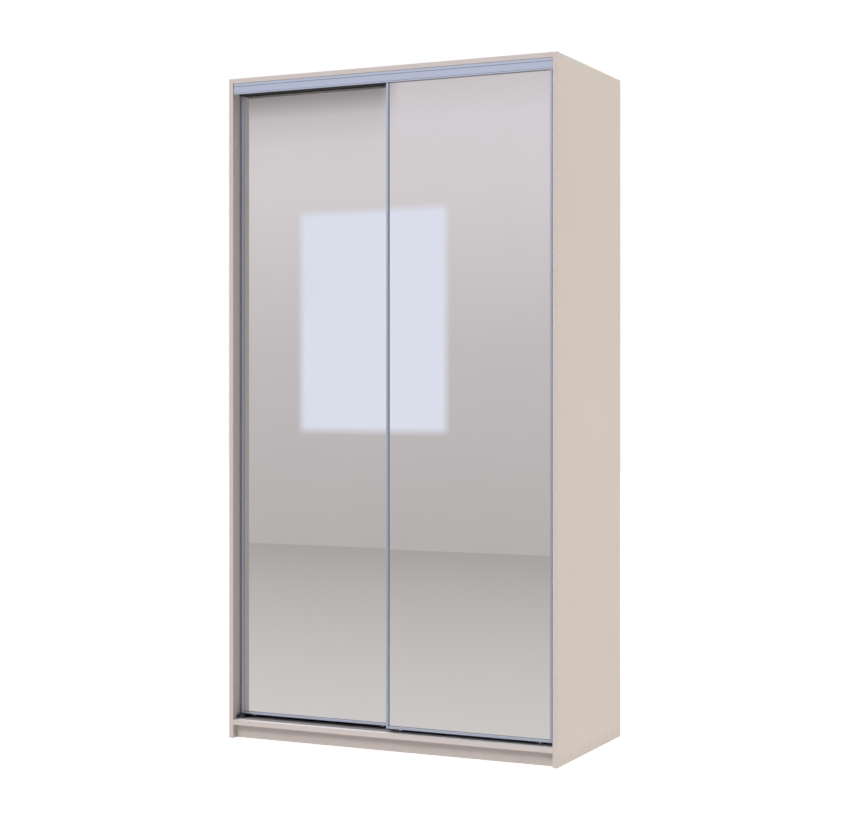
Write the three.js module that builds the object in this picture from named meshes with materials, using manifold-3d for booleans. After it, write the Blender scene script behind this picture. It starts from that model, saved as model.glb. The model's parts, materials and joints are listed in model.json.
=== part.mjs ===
// A two-door sliding wardrobe: a board carcass with shelves and a hanging rail, and two framed mirror
// doors that cross each other on two tracks.
// Millimetres. +X is right, +Y is towards the back, +Z is up. The origin is on the floor, under the centre.
import * as THREE from "three";
import { mergeVertices } from "three/addons/utils/BufferGeometryUtils.js";
import Module from "manifold-3d";

const wasm = await Module();
wasm.setup();

// ---- Driving dimensions ----
const WIDTH = 1200;
const DEPTH = 600;
const HEIGHT = 2250;
const BOARD = 16;
const PLINTH_HEIGHT = 46;
const PLINTH_LIFT = 1;
const PLINTH_RECESS = 19;
const REAR_PLINTH_RECESS = 40;
const INTERIOR_SETBACK = 100;
const PARTITION_SETBACK = 94;
const SHELF_BACK_GAP = 2;
const SHELF_COUNT = 4;
const HAT_SHELF_HEIGHT = 1850;
const LOWER_SHELF_HEIGHT = 330;
const RAIL_HEIGHT = 1778;

// Back: two sheets inside the carcass's outline, and the H-section between them
const BACK_SHEET = 3;
const BACK_INSET = 2;
const BACK_JOINT = 2.5;
const STRIP_WIDTH = 18;
const STRIP_WEB = 1.5;
const STRIP_THICKNESS = 0.8;
const STRIP_PROUD = 1;

// Doors: the front one hangs on the right, the rear one on the left.
const DOOR_DEPTH = 32;
const DOOR_SIDE_GAP = 4;
const DOOR_OVERLAP = 8;
const DOOR_SETBACK = 6;
const TRACK_PITCH = 40;
const DOOR_BOTTOM = 77.5;
const DOOR_TOP = 2214;

// Door frame sections
const STILE_FACE = 8;
const STILE_BOX = 20;
const RAIL_FACE = 8;
const RAIL_CHANNEL = 32;
const BEAD_DEPTH = 6;
const SLOT_BACK = 12;
const SLOT_FLOOR = 2;
const WALL = 1.5;
const MIRROR_THICKNESS = 4;

// Running gear
const WHEEL_DEPTH = 22;
const WHEEL_RADIUS = 10;
const WHEEL_HEIGHT = 74.2;
const GUIDE_RADIUS = 9;
const GUIDE_BOTTOM = 2219;
const GUIDE_TOP = 2229;
const CARRIAGE_INSET = 24;
const CARRIAGE_LENGTH = 60;
const CARRIAGE_WIDTH = 16.4;
const WHEEL_INSET = CARRIAGE_INSET + 22;
const GUIDE_INSET = 50;

// Tracks
const FASCIA_SETBACK = 2;
const FASCIA_HEIGHT = 37.5;
const FASCIA_LINES = [
  { drop: 10.5, width: 1.4, depth: 1.2 },
  { drop: 33.2, width: 0.9, depth: 0.8 },
];
const TOP_TRACK_WALL = 2;
const TOP_TRACK_DEPTH = 82;
const GUIDE_RIB_REACH = 14;
const GUIDE_RIB_WALL = 1.5;
const GUIDE_PLAY = 0.4;
const LOW_TRACK_SETBACK = 3;
const LOW_TRACK_DEPTH = 74;
const LOW_TRACK_PLATE = 1.6;
const LOW_TRACK_HEIGHT = 5;
const LOW_TRACK_RIB = 2.5;
const GROOVE_HALF = 4.5;

const GAP = 0.3;

// ---- Worked-out places ----
const FRONT = -DEPTH / 2;
const INNER_HALF = WIDTH / 2 - BOARD;
const REAR = DEPTH / 2;
const BOARD_BACK = REAR - STRIP_PROUD - BACK_SHEET;
const BOTTOM_TOP = PLINTH_HEIGHT + BOARD;
const TOP_UNDERSIDE = HEIGHT - BOARD;
const INTERIOR_FRONT = FRONT + INTERIOR_SETBACK;
const INTERIOR_BACK = BOARD_BACK - SHELF_BACK_GAP;
const PARTITION_BACK = BOARD_BACK - STRIP_PROUD - 0.25;
const DOOR_WIDTH = (2 * (INNER_HALF - DOOR_SIDE_GAP) + DOOR_OVERLAP) / 2;
const DOOR_HEIGHT = DOOR_TOP - DOOR_BOTTOM;
const CARRIAGE_END = INNER_HALF - DOOR_SIDE_GAP - CARRIAGE_INSET;

// The lines behind the carcass front where the wheels of the front and rear doors run
const WHEEL_LINES = [0, 1].map((row) => DOOR_SETBACK + WHEEL_DEPTH + row * TRACK_PITCH);

// ---- Materials ----
function finish(color, roughness, metalness = 0) {
  return () => new THREE.MeshStandardMaterial({ color, roughness, metalness });
}

const boardFinish = finish(0xcfc2bb, 0.6);
const backFinish = finish(0xd9d2cc, 0.7);
const aluminiumFinish = finish(0xadb4c8, 0.35, 0.9);
const mirrorFinish = finish(0xdfe3ea, 0.03, 1);
const chromeFinish = finish(0xd8d8da, 0.12, 1);
const steelFinish = finish(0xa9abad, 0.4, 0.9);
const plasticFinish = finish(0x232427, 0.5);
const paleFinish = finish(0xe8e6e2, 0.45);
const brushFinish = finish(0x7b7d82, 0.95);
const gasketFinish = finish(0x35373a, 0.7);

// ---- Shape helpers ----
function named(name, geometry, material) {
  const mesh = new THREE.Mesh(geometry, material());
  mesh.name = name;
  return mesh;
}

function boxGeometry([x0, x1], [y0, y1], [z0, z1]) {
  const geometry = new THREE.BoxGeometry(x1 - x0, y1 - y0, z1 - z0);
  return geometry.translate((x0 + x1) / 2, (y0 + y1) / 2, (z0 + z1) / 2);
}

function outline(points) {
  return new THREE.Shape(points.map(([u, v]) => new THREE.Vector2(u, v)));
}

// A rounded slot, as long as length between its outer ends and width across.
function ovalShape(length, width, Kind = THREE.Shape) {
  const radius = width / 2;
  const reach = length / 2 - radius;
  const shape = new Kind();
  shape.absarc(0, reach, radius, 0, Math.PI);
  shape.absarc(0, -reach, radius, Math.PI, 2 * Math.PI);
  shape.closePath();
  return shape;
}

// A section drawn in X and Y, run along Z.
function alongZ(shape, z0, z1, curveSegments = 8) {
  const geometry = new THREE.ExtrudeGeometry(shape, { depth: z1 - z0, bevelEnabled: false, curveSegments });
  return geometry.translate(0, 0, z0);
}

// A section drawn in Y and Z, run along X.
function alongX(shape, x0, x1, curveSegments = 8) {
  const turn = new THREE.Matrix4().makeBasis(
    new THREE.Vector3(0, 1, 0),
    new THREE.Vector3(0, 0, 1),
    new THREE.Vector3(1, 0, 0),
  );
  return alongZ(shape, x0, x1, curveSegments).applyMatrix4(turn);
}

// A section drawn in X and Z, run along Y.
function alongY(shape, y0, y1, curveSegments = 8) {
  return alongZ(shape, -y1, -y0, curveSegments).rotateX(Math.PI / 2);
}

// A turned part with its axis along Y, from a profile of [radius, height] points.
function turnedY(profile, segments) {
  return new THREE.LatheGeometry(profile.map(([r, h]) => new THREE.Vector2(r, h)), segments);
}

// The same with its axis upright.
function turnedZ(profile, segments) {
  return turnedY(profile, segments).rotateX(Math.PI / 2);
}

function solid(geometry) {
  const bare = geometry.index ? geometry.toNonIndexed() : geometry.clone();
  bare.deleteAttribute("normal");
  bare.deleteAttribute("uv");
  const merged = mergeVertices(bare, 1e-3);
  return new wasm.Manifold(
    new wasm.Mesh({
      numProp: 3,
      vertProperties: merged.getAttribute("position").array,
      triVerts: new Uint32Array(merged.index.array),
    }),
  );
}

function geometryOf(manifold) {
  const mesh = manifold.getMesh();
  const geometry = new THREE.BufferGeometry();
  geometry.setAttribute("position", new THREE.BufferAttribute(mesh.vertProperties, 3));
  geometry.setIndex(new THREE.BufferAttribute(mesh.triVerts, 1));
  const flat = geometry.toNonIndexed();
  flat.computeVertexNormals();
  return flat;
}

function joined(...geometries) {
  return geometryOf(geometries.map(solid).reduce((whole, piece) => whole.add(piece)));
}

function cut(geometry, ...tools) {
  return geometryOf(tools.map(solid).reduce((rest, tool) => rest.subtract(tool), solid(geometry)));
}

// ---- Carcass boards ----
// The span between two distances from the middle, on the left (-1) or the right (1).
function onHalf(side, near, far) {
  return side < 0 ? [-far, -near] : [near, far];
}

function sidePanel(name, side) {
  const across = onHalf(side, INNER_HALF, WIDTH / 2);
  return named(name, boxGeometry(across, [FRONT, BOARD_BACK], [0, HEIGHT]), boardFinish);
}

function crossBoard(name, [y0, y1], [z0, z1]) {
  return named(name, boxGeometry([-INNER_HALF, INNER_HALF], [y0, y1], [z0, z1]), boardFinish);
}

function centrePartition() {
  const across = [-BOARD / 2, BOARD / 2];
  const deep = [FRONT + PARTITION_SETBACK, PARTITION_BACK];
  return named("centre_partition", boxGeometry(across, deep, [BOTTOM_TOP, TOP_UNDERSIDE]), boardFinish);
}

function plinthBoards() {
  const high = [PLINTH_LIFT, PLINTH_HEIGHT];
  const frontBack = FRONT + PLINTH_RECESS + BOARD;
  const rearFront = BOARD_BACK - REAR_PLINTH_RECESS - BOARD;
  const brace = boxGeometry([-BOARD / 2, BOARD / 2], [frontBack, rearFront], high);
  return [
    crossBoard("front_plinth", [FRONT + PLINTH_RECESS, frontBack], high),
    crossBoard("rear_plinth", [rearFront, rearFront + BOARD], high),
    named("plinth_brace", brace, boardFinish),
  ];
}

function backPanel(name, side) {
  const across = onHalf(side, BACK_JOINT / 2, WIDTH / 2 - BACK_INSET);
  const deep = [BOARD_BACK, BOARD_BACK + BACK_SHEET];
  const high = [PLINTH_HEIGHT + BACK_INSET, HEIGHT - BACK_INSET];
  return named(name, boxGeometry(across, deep, high), backFinish);
}

// The H-section that joins the two back sheets down the middle.
function backJointStrip() {
  const half = STRIP_WIDTH / 2;
  const web = STRIP_WEB / 2;
  const innerFront = BOARD_BACK - STRIP_PROUD;
  const innerBack = innerFront + STRIP_THICKNESS;
  const outerFront = REAR - STRIP_THICKNESS;
  const points = [
    [-half, innerFront],
    [half, innerFront],
    [half, innerBack],
    [web, innerBack],
    [web, outerFront],
    [half, outerFront],
    [half, REAR],
    [-half, REAR],
    [-half, outerFront],
    [-web, outerFront],
    [-web, innerBack],
    [-half, innerBack],
  ];
  const strip = alongZ(outline(points), BOTTOM_TOP + GAP, TOP_UNDERSIDE - GAP);
  return named("back_joint_strip", strip, paleFinish);
}

function shelf(name, side, bottom) {
  const across = onHalf(side, BOARD / 2, INNER_HALF);
  const deep = [INTERIOR_FRONT, INTERIOR_BACK];
  return named(name, boxGeometry(across, deep, [bottom, bottom + BOARD]), boardFinish);
}

function shelves() {
  const clear = (TOP_UNDERSIDE - BOTTOM_TOP - SHELF_COUNT * BOARD) / (SHELF_COUNT + 1);
  const made = [];
  for (let i = 0; i < SHELF_COUNT; i += 1) {
    const bottom = BOTTOM_TOP + clear * (i + 1) + BOARD * i;
    made.push(shelf(`shelf_${i + 1}`, -1, bottom));
  }
  made.push(shelf("hat_shelf", 1, HAT_SHELF_HEIGHT));
  made.push(shelf("lower_shelf", 1, LOWER_SHELF_HEIGHT));
  return made;
}

// ---- Hanging rail ----
const RAIL_PLACE_Y = (INTERIOR_FRONT + INTERIOR_BACK) / 2;
const RAIL_TALL = 30;
const RAIL_DEEP = 15;
const RAIL_WALL = 1.2;
const FLANGE_DEPTH = 12;
const FLANGE_BASE = 3;
const FLANGE_MARGIN = 6;
const CUP_WALL = 2;
const CUP_PLAY = 0.5;

// The rail's oval, grown by margin all round.
function railOval(margin, Kind) {
  return ovalShape(RAIL_TALL + 2 * margin, RAIL_DEEP + 2 * margin, Kind);
}

function hangingRail() {
  const tube = railOval(0);
  tube.holes.push(railOval(-RAIL_WALL, THREE.Path));
  const from = BOARD / 2 + FLANGE_BASE + GAP;
  const to = INNER_HALF - FLANGE_BASE - GAP;
  const rail = named("hanging_rail", alongX(tube, from, to), chromeFinish);
  rail.position.set(0, RAIL_PLACE_Y, RAIL_HEIGHT);
  return rail;
}

function railFlange(name, face, direction) {
  const base = alongX(railOval(FLANGE_MARGIN), 0, FLANGE_BASE);
  const cup = alongX(railOval(CUP_PLAY + CUP_WALL), 0, FLANGE_DEPTH);
  const pocket = alongX(railOval(CUP_PLAY), FLANGE_BASE, FLANGE_DEPTH + 1);
  const flange = named(name, cut(joined(base, cup), pocket), chromeFinish);
  flange.position.set(face, RAIL_PLACE_Y, RAIL_HEIGHT);
  flange.rotation.z = direction > 0 ? 0 : Math.PI;
  return flange;
}

// ---- Tracks ----
// A plate with fins along it: direction is -1 for fins that hang down and 1 for fins that stand up.
function finnedSection(front, back, plate, direction, fins) {
  const points = [
    [back, 0],
    [front, 0],
  ];
  for (const fin of fins) {
    points.push([fin.front, direction * plate]);
    for (const { drop, width, depth } of fin.lines ?? []) {
      points.push([fin.front, direction * (drop - width / 2)]);
      points.push([fin.front + depth, direction * (drop - width / 4)]);
      points.push([fin.front + depth, direction * (drop + width / 4)]);
      points.push([fin.front, direction * (drop + width / 2)]);
    }
    points.push([fin.front, direction * fin.reach]);
    points.push([fin.back, direction * fin.reach]);
    points.push([fin.back, direction * plate]);
  }
  return outline(points);
}

function topTrack() {
  const ribRoom = GUIDE_RADIUS + GUIDE_PLAY;
  const fins = [
    {
      front: FASCIA_SETBACK,
      back: FASCIA_SETBACK + TOP_TRACK_WALL,
      reach: FASCIA_HEIGHT,
      lines: FASCIA_LINES,
    },
  ];
  WHEEL_LINES.forEach((line, row) => {
    const web = FASCIA_SETBACK + TRACK_PITCH * (row + 1);
    fins.push({ front: line - ribRoom - GUIDE_RIB_WALL, back: line - ribRoom, reach: GUIDE_RIB_REACH });
    fins.push({ front: line + ribRoom, back: line + ribRoom + GUIDE_RIB_WALL, reach: GUIDE_RIB_REACH });
    fins.push({ front: web, back: web + TOP_TRACK_WALL, reach: FASCIA_HEIGHT });
  });
  const back = FASCIA_SETBACK + TOP_TRACK_DEPTH;
  const section = finnedSection(FASCIA_SETBACK, back, TOP_TRACK_WALL, -1, fins);
  const track = named("top_track", alongX(section, -INNER_HALF, INNER_HALF), aluminiumFinish);
  track.position.set(0, FRONT, TOP_UNDERSIDE);
  return track;
}

function bottomTrack() {
  const fins = [];
  for (const line of WHEEL_LINES) {
    for (const front of [line - GROOVE_HALF - LOW_TRACK_RIB, line + GROOVE_HALF]) {
      fins.push({ front, back: front + LOW_TRACK_RIB, reach: LOW_TRACK_HEIGHT });
    }
  }
  const back = LOW_TRACK_SETBACK + LOW_TRACK_DEPTH;
  const section = finnedSection(LOW_TRACK_SETBACK, back, LOW_TRACK_PLATE, 1, fins);
  const track = named("bottom_track", alongX(section, -INNER_HALF, INNER_HALF), aluminiumFinish);
  track.position.set(0, FRONT, BOTTOM_TOP);
  return track;
}

// A buffer at one end of the bottom track, with a tongue in each groove.
function trackStop(name, side) {
  const half = GROOVE_HALF - GAP;
  const tongueBottom = LOW_TRACK_PLATE + GAP;
  const bridgeBottom = LOW_TRACK_HEIGHT + GAP;
  const bridgeTop = bridgeBottom + WALL;
  const bufferTop = DOOR_BOTTOM - BOTTOM_TOP - 1;
  const [first, second] = WHEEL_LINES;
  const points = [];
  points.push([first - half, tongueBottom], [first + half, tongueBottom]);
  points.push([first + half, bridgeBottom], [second - half, bridgeBottom]);
  points.push([second - half, tongueBottom], [second + half, tongueBottom]);
  points.push([second + half, bufferTop], [second - half, bufferTop]);
  points.push([second - half, bridgeTop], [first + half, bridgeTop]);
  points.push([first + half, bufferTop], [first - half, bufferTop]);
  const [from, to] = onHalf(side, CARRIAGE_END + GAP, INNER_HALF);
  const stop = named(name, alongX(outline(points), from, to), plasticFinish);
  stop.position.set(0, FRONT, BOTTOM_TOP);
  return stop;
}

// ---- Door frame. A door's own frame starts at its lower left front corner, with Y as its depth. ----
// Points drawn for the left edge, or the same points mirrored to the right edge, in the same turning order.
function onSide(points, side) {
  return side < 0 ? points : points.map(([x, y]) => [DOOR_WIDTH - x, y]).reverse();
}

function stileSection(side) {
  const face = [
    [0, 1],
    [1, 0],
    [STILE_FACE - 1, 0],
    [STILE_FACE, 1],
    [STILE_FACE, BEAD_DEPTH],
    [SLOT_FLOOR, BEAD_DEPTH],
    [SLOT_FLOOR, SLOT_BACK],
    [STILE_BOX, SLOT_BACK],
    [STILE_BOX, DOOR_DEPTH - 1],
    [STILE_BOX - 1, DOOR_DEPTH],
    [1, DOOR_DEPTH],
    [0, DOOR_DEPTH - 1],
  ];
  const bore = [
    [WALL, SLOT_BACK + WALL],
    [STILE_BOX - WALL, SLOT_BACK + WALL],
    [STILE_BOX - WALL, DOOR_DEPTH - WALL],
    [WALL, DOOR_DEPTH - WALL],
  ];
  const section = outline(onSide(face, side));
  section.holes.push(outline(onSide(bore, side)));
  return section;
}

function stile(name, side) {
  return named(name, alongZ(stileSection(side), 0, DOOR_HEIGHT), aluminiumFinish);
}

// A rail: its open channel faces the track, and its bead runs on between the stiles' beads.
function doorRail(name, edge) {
  const points = [
    [1, 0],
    [0, 1],
    [0, RAIL_FACE - 1],
    [1, RAIL_FACE],
    [BEAD_DEPTH, RAIL_FACE],
    [BEAD_DEPTH, SLOT_FLOOR],
    [SLOT_BACK, SLOT_FLOOR],
    [SLOT_BACK, RAIL_CHANNEL],
    [DOOR_DEPTH, RAIL_CHANNEL],
    [DOOR_DEPTH, 0],
    [DOOR_DEPTH - WALL, 0],
    [DOOR_DEPTH - WALL, RAIL_CHANNEL - WALL],
    [SLOT_BACK + WALL, RAIL_CHANNEL - WALL],
    [SLOT_BACK + WALL, 0],
  ];
  const place = ([y, v]) => (edge < 0 ? [y, v] : [y, DOOR_HEIGHT - v]);
  const beadEnd = STILE_FACE + GAP;
  const boxEnd = STILE_BOX + GAP;
  const bar = alongX(outline(points.map(place)), beadEnd, DOOR_WIDTH - beadEnd);
  const behindBead = [BEAD_DEPTH, DOOR_DEPTH + 1];
  const high = edge < 0 ? [-1, RAIL_CHANNEL + 1] : [DOOR_HEIGHT - RAIL_CHANNEL - 1, DOOR_HEIGHT + 1];
  const leftCut = boxGeometry([0, boxEnd], behindBead, high);
  const rightCut = boxGeometry([DOOR_WIDTH - boxEnd, DOOR_WIDTH], behindBead, high);
  return named(name, cut(bar, leftCut, rightCut), aluminiumFinish);
}

const GASKET_PLAY = 0.25;
const MIRROR_INSET = SLOT_FLOOR + GASKET_PLAY + 1;
const MIRROR_FRONT = (BEAD_DEPTH + SLOT_BACK - MIRROR_THICKNESS) / 2;

function slab(inset, [y0, y1]) {
  return boxGeometry([inset, DOOR_WIDTH - inset], [y0, y1], [inset, DOOR_HEIGHT - inset]);
}

function mirror(name) {
  const deep = [MIRROR_FRONT, MIRROR_FRONT + MIRROR_THICKNESS];
  return named(name, slab(MIRROR_INSET, deep), mirrorFinish);
}

// The U-section seal round the mirror's edge.
function mirrorGasket(name) {
  const fit = GASKET_PLAY / 2;
  const lipInset = 0.5;
  const body = slab(SLOT_FLOOR + GASKET_PLAY, [BEAD_DEPTH + GASKET_PLAY, SLOT_BACK - GASKET_PLAY]);
  const window = slab(STILE_FACE - lipInset, [BEAD_DEPTH - 1, SLOT_BACK + 1]);
  const groove = slab(MIRROR_INSET - fit, [MIRROR_FRONT - fit, MIRROR_FRONT + MIRROR_THICKNESS + fit]);
  return named(name, cut(body, window, groove), gasketFinish);
}

// ---- Running gear ----
const CHEEK = 2;
const AXLE_RADIUS = 2;
const AXLE_HEAD_RADIUS = 3;
const BORE_PLAY = 0.15;
const CHEEK_PLAY = 0.25;
const WEB_HALF = 2;
const RIM_HALF = 3.2;
const CARRIAGE_ROOM = 2.5;
const TAB_DROP = 7.5;
const TAB_HALF = 10;
const TAB_SLOPE = 6;

// A shell of two cheeks and a top, which hangs the wheel under the rail. It is drawn for the left end.
function carriageGeometry() {
  const front = WHEEL_DEPTH - CARRIAGE_WIDTH / 2;
  const back = WHEEL_DEPTH + CARRIAGE_WIDTH / 2;
  const low = 1;
  const top = RAIL_CHANNEL - WALL - CARRIAGE_ROOM;
  const centre = WHEEL_INSET - CARRIAGE_INSET;
  const cheek = outline([
    [centre - TAB_HALF - TAB_SLOPE, low],
    [centre - TAB_HALF, -TAB_DROP],
    [centre + TAB_HALF, -TAB_DROP],
    [centre + TAB_HALF + TAB_SLOPE, low],
    [CARRIAGE_LENGTH, low],
    [CARRIAGE_LENGTH, top],
    [0, top],
    [0, low],
  ]);
  const frontCheek = alongY(cheek, front, front + CHEEK);
  const backCheek = alongY(cheek, back - CHEEK, back);
  const cover = boxGeometry([0, CARRIAGE_LENGTH], [front, back], [top - CHEEK, top]);
  const hole = turnedY(rodProfile(AXLE_RADIUS + CHEEK_PLAY, front - 1, back + 1), 16);
  hole.translate(centre, 0, WHEEL_HEIGHT - DOOR_BOTTOM);
  return cut(joined(frontCheek, backCheek, cover), hole);
}

function rodProfile(radius, from, to) {
  return [
    [0, from],
    [radius, from],
    [radius, to],
    [0, to],
  ];
}

// Turns a piece drawn for the left end into the one for side, which stands at inset from that end.
function placeAtEnd(mesh, side, inset) {
  mesh.position.x = side < 0 ? inset : DOOR_WIDTH - inset;
  return mesh;
}

function carriage(name, side) {
  const geometry = carriageGeometry();
  if (side > 0) {
    geometry.translate(0, -WHEEL_DEPTH, 0).rotateZ(Math.PI).translate(0, WHEEL_DEPTH, 0);
  }
  return placeAtEnd(named(name, geometry, steelFinish), side, CARRIAGE_INSET);
}

function rollerAxle(name, side) {
  const reach = CARRIAGE_WIDTH / 2 + GAP;
  const headEnd = reach + 0.8;
  const profile = [
    [0, -headEnd],
    [AXLE_HEAD_RADIUS, -headEnd],
    [AXLE_HEAD_RADIUS, -reach],
    [AXLE_RADIUS, -reach],
    [AXLE_RADIUS, reach],
    [AXLE_HEAD_RADIUS, reach],
    [AXLE_HEAD_RADIUS, headEnd],
    [0, headEnd],
  ];
  const axle = named(name, turnedY(profile, 12), steelFinish);
  axle.position.set(0, WHEEL_DEPTH, WHEEL_HEIGHT - DOOR_BOTTOM);
  return placeAtEnd(axle, side, WHEEL_INSET);
}

// A wheel with a long hub, a thin web and a rim with chamfered edges. Each half is the other's mirror.
function rollerWheel(name, side) {
  const bore = AXLE_RADIUS + BORE_PLAY;
  const hub = CARRIAGE_WIDTH / 2 - CHEEK - GAP;
  const half = [
    [bore, hub],
    [4, hub],
    [4.5, WEB_HALF],
    [WHEEL_RADIUS - 2.5, WEB_HALF],
    [WHEEL_RADIUS - 2, RIM_HALF],
    [WHEEL_RADIUS - 1, RIM_HALF],
    [WHEEL_RADIUS, RIM_HALF - 1.4],
  ];
  const other = half.map(([radius, height]) => [radius, -height]);
  const profile = [...other, ...half.reverse(), other[0]];
  const wheel = named(name, turnedY(profile, 24), plasticFinish);
  wheel.position.set(0, WHEEL_DEPTH, WHEEL_HEIGHT - DOOR_BOTTOM);
  return placeAtEnd(wheel, side, WHEEL_INSET);
}

const PIN_RADIUS = 2.5;
const PIN_BOSS_RADIUS = 5;
const PIN_HEAD_RADIUS = 4;
const BRACKET_LENGTH = 40;
const BRACKET_HEIGHT = 25;

// A block in the top rail's channel with an upright pin for the guide wheel.
function guideBracket(name, side) {
  const half = CARRIAGE_WIDTH / 2;
  const top = DOOR_HEIGHT - 1;
  const across = [-BRACKET_LENGTH / 2, BRACKET_LENGTH / 2];
  const block = boxGeometry(across, [-half, half], [top - BRACKET_HEIGHT, top]);
  const shoulder = GUIDE_BOTTOM - DOOR_BOTTOM - GAP;
  const pinTop = GUIDE_TOP - DOOR_BOTTOM + GAP;
  const profile = [
    [0, top - 2],
    [PIN_BOSS_RADIUS, top - 2],
    [PIN_BOSS_RADIUS, shoulder],
    [PIN_RADIUS, shoulder],
    [PIN_RADIUS, pinTop],
    [PIN_HEAD_RADIUS, pinTop],
    [PIN_HEAD_RADIUS - 0.6, pinTop + 1],
    [0, pinTop + 1],
  ];
  const bracket = named(name, joined(block, turnedZ(profile, 16)), plasticFinish);
  bracket.position.y = WHEEL_DEPTH;
  return placeAtEnd(bracket, side, GUIDE_INSET);
}

function guideWheel(name, side) {
  const bore = PIN_RADIUS + BORE_PLAY;
  const low = GUIDE_BOTTOM - DOOR_BOTTOM;
  const high = GUIDE_TOP - DOOR_BOTTOM;
  const profile = [
    [bore, low],
    [GUIDE_RADIUS - 1, low],
    [GUIDE_RADIUS, low + 1],
    [GUIDE_RADIUS, high - 1],
    [GUIDE_RADIUS - 1, high],
    [bore, high],
    [bore, low],
  ];
  const wheel = named(name, turnedZ(profile, 24), paleFinish);
  wheel.position.y = WHEEL_DEPTH;
  return placeAtEnd(wheel, side, GUIDE_INSET);
}

// ---- Brush seals ----
const BRUSH_END = 4;
const BRUSH_BASE_HALF = 4;
const BRUSH_BASE = 1.2;
const PILE_HALF = 2.5;
const BRUSH_PLAY = 0.5;

// A seal's section: a flat base on the door at zero, and the pile that reaches out across the gap.
function brushPoints(gap) {
  const reach = gap - BRUSH_PLAY;
  return [
    [0, -BRUSH_BASE_HALF],
    [BRUSH_BASE, -BRUSH_BASE_HALF],
    [BRUSH_BASE, -PILE_HALF],
    [reach, -PILE_HALF],
    [reach, PILE_HALF],
    [BRUSH_BASE, PILE_HALF],
    [BRUSH_BASE, BRUSH_BASE_HALF],
    [0, BRUSH_BASE_HALF],
  ];
}

// The seal on a door's outer edge, which closes the gap to the side panel.
function sideBrush(name, side) {
  const points = brushPoints(DOOR_SIDE_GAP).map(([out, along]) => [-out, -along]);
  const section = outline(onSide(points, side));
  const brush = named(name, alongZ(section, BRUSH_END, DOOR_HEIGHT - BRUSH_END), brushFinish);
  brush.position.y = WHEEL_DEPTH;
  return brush;
}

// The seal on the back of the front door's meeting stile, which closes the gap to the rear door.
function meetingBrush(name) {
  const points = brushPoints(TRACK_PITCH - DOOR_DEPTH).map(([out, along]) => [-along, out]);
  const fasciaBottom = TOP_UNDERSIDE - FASCIA_HEIGHT - DOOR_BOTTOM;
  const brush = named(name, alongZ(outline(points), BRUSH_END, fasciaBottom - BRUSH_END), brushFinish);
  brush.position.set(STILE_FACE / 2, DOOR_DEPTH, 0);
  return brush;
}

// ---- Doors ----
function doorGear(prefix, end, side) {
  return [
    carriage(`${prefix}_roller_carriage_${end}`, side),
    rollerAxle(`${prefix}_roller_axle_${end}`, side),
    rollerWheel(`${prefix}_roller_wheel_${end}`, side),
    guideBracket(`${prefix}_guide_bracket_${end}`, side),
    guideWheel(`${prefix}_guide_wheel_${end}`, side),
  ];
}

function door(prefix, side, row) {
  const group = new THREE.Group();
  group.add(
    mirror(`${prefix}_mirror`),
    mirrorGasket(`${prefix}_mirror_gasket`),
    stile(`${prefix}_stile_left`, -1),
    stile(`${prefix}_stile_right`, 1),
    doorRail(`${prefix}_top_rail`, 1),
    doorRail(`${prefix}_bottom_rail`, -1),
    ...doorGear(prefix, "left", -1),
    ...doorGear(prefix, "right", 1),
    sideBrush(`${prefix}_side_brush`, side),
  );
  const outerEdge = INNER_HALF - DOOR_SIDE_GAP;
  const left = side < 0 ? -outerEdge : outerEdge - DOOR_WIDTH;
  group.position.set(left, FRONT + DOOR_SETBACK + row * TRACK_PITCH, DOOR_BOTTOM);
  return group;
}

function doors() {
  const rear = door("left_door", -1, 1);
  const front = door("right_door", 1, 0);
  front.add(meetingBrush("right_door_meeting_brush"));
  return [rear, front];
}

// ---- Whole wardrobe ----
function carcass() {
  const group = new THREE.Group();
  group.add(
    sidePanel("left_side_panel", -1),
    sidePanel("right_side_panel", 1),
    crossBoard("top_panel", [FRONT, BOARD_BACK], [TOP_UNDERSIDE, HEIGHT]),
    crossBoard("bottom_panel", [FRONT, BOARD_BACK], [PLINTH_HEIGHT, BOTTOM_TOP]),
    centrePartition(),
    ...plinthBoards(),
    backPanel("back_panel_left", -1),
    backPanel("back_panel_right", 1),
    backJointStrip(),
    ...shelves(),
    hangingRail(),
    railFlange("rail_flange_left", BOARD / 2, 1),
    railFlange("rail_flange_right", INNER_HALF, -1),
    topTrack(),
    bottomTrack(),
    trackStop("track_stop_left", -1),
    trackStop("track_stop_right", 1),
  );
  return group;
}

const wardrobe = new THREE.Group();
wardrobe.add(carcass(), ...doors());

export default wardrobe;
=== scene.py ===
"""A two-door sliding wardrobe with mirror doors, on a plain studio floor.

Sizes are in metres, in the frame of the CAD model: X to the right, Y to the rear, Z up.
"""

import json
import math
import random

import bpy
from mathutils import Matrix, Vector


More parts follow.
